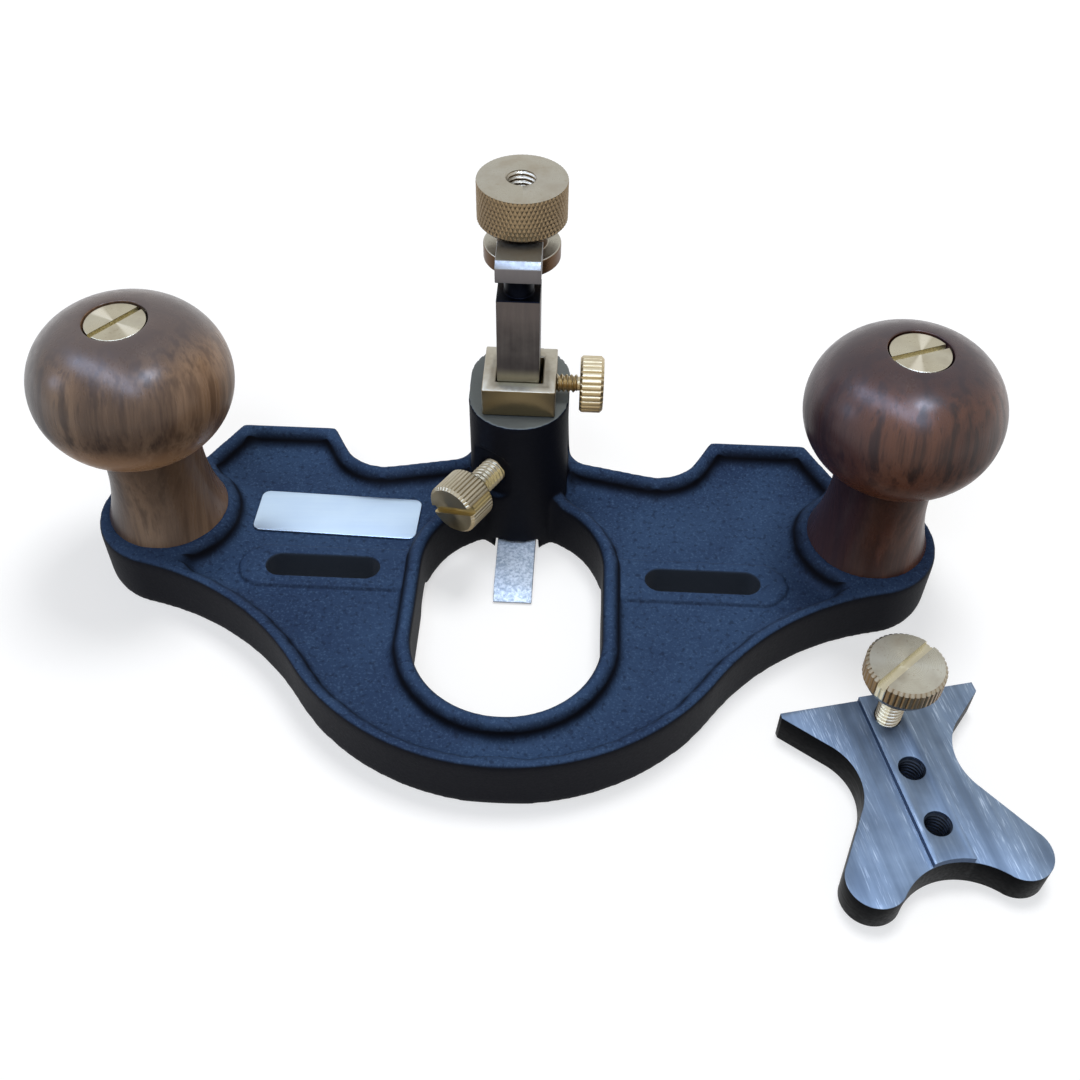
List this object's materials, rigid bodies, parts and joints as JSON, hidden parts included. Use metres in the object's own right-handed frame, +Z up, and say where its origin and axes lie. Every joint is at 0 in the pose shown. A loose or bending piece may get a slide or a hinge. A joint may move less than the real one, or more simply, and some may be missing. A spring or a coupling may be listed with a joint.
{
  "type": "hand router plane",
  "caption": "Closed-mouth hand router plane: rimmed cast base with turned knobs, a post-guided cutter with depth nut, stop collar and clamp screw, and a loose slotted-on fence.",
  "frame": {"origin": "on the sole, midway between the two knob axes", "axes": "+X to the user's right along the base, +Y away from the user, +Z up"},
  "size_m": [0.1974, 0.1177, 0.0818],
  "materials": {
    "paint": "fine speckled dark blue-black paint on a casting",
    "left_wood": "glossy, mid brown",
    "right_wood": "glossy, dark red brown",
    "steel": "plain",
    "brass": "satin, pale",
    "cutter_steel": "drawn stem and bright foot",
    "fence_steel": "milled face and dark sides",
    "plate": "satin, bare"
  },
  "bodies": {
    "base": {"base_casting": "paint", "left_knob": "left_wood", "right_knob": "right_wood", "left_knob_stud": "steel", "right_knob_stud": "steel", "left_knob_nut": "brass", "right_knob_nut": "brass", "adjuster_stud": "steel", "blank_plate": "plate"},
    "cutter": {"cutter": "cutter_steel"},
    "depth_nut": {"depth_nut": "brass"},
    "stop_collar": {"stop_collar": "brass"},
    "stop_screw": {"stop_thumbscrew": "brass"},
    "clamp_screw": {"clamp_thumbscrew": "brass"},
    "fence": {"fence": "fence_steel"},
    "fence_screw": {"fence_thumbscrew": "brass"}
  },
  "joints": [
    {"name": "cutter_slide", "type": "slide", "parent": "base", "child": "cutter", "axis": [0, 0, -1], "range_m": [0, 0.008]},
    {"name": "depth_nut_turn", "type": "hinge", "parent": "cutter", "child": "depth_nut", "pos_m": [0, 0.0249, 0.077], "axis": [0, 0, -1], "range_deg": [0, 2880]},
    {"name": "stop_collar_slide", "type": "slide", "parent": "base", "child": "stop_collar", "axis": [0, 0, 1], "range_m": [0, 0.006]},
    {"name": "stop_screw_turn", "type": "hinge", "parent": "stop_collar", "child": "stop_screw", "pos_m": [0.015, 0.01385, 0.0406], "axis": [1, 0, 0], "range_deg": [-360, 0]},
    {"name": "clamp_screw_turn", "type": "hinge", "parent": "base", "child": "clamp_screw", "pos_m": [-0.0106, -0.00311, 0.0224], "axis": [-0.5299, -0.848, 0], "range_deg": [-360, 0]},
    {"name": "fence_lift", "type": "slide", "parent": "base", "child": "fence", "axis": [0, 0, 1], "range_m": [0, 0.02]},
    {"name": "fence_screw_turn", "type": "hinge", "parent": "fence", "child": "fence_screw", "pos_m": [0.0753, -0.04396, 0.02], "axis": [0, 0, 1], "range_deg": [-720, 0]}
  ],
  "couplings": [
    {"joint": "depth_nut_turn", "follows": "cutter_slide", "rad_per_m": 6283.2}
  ]
}
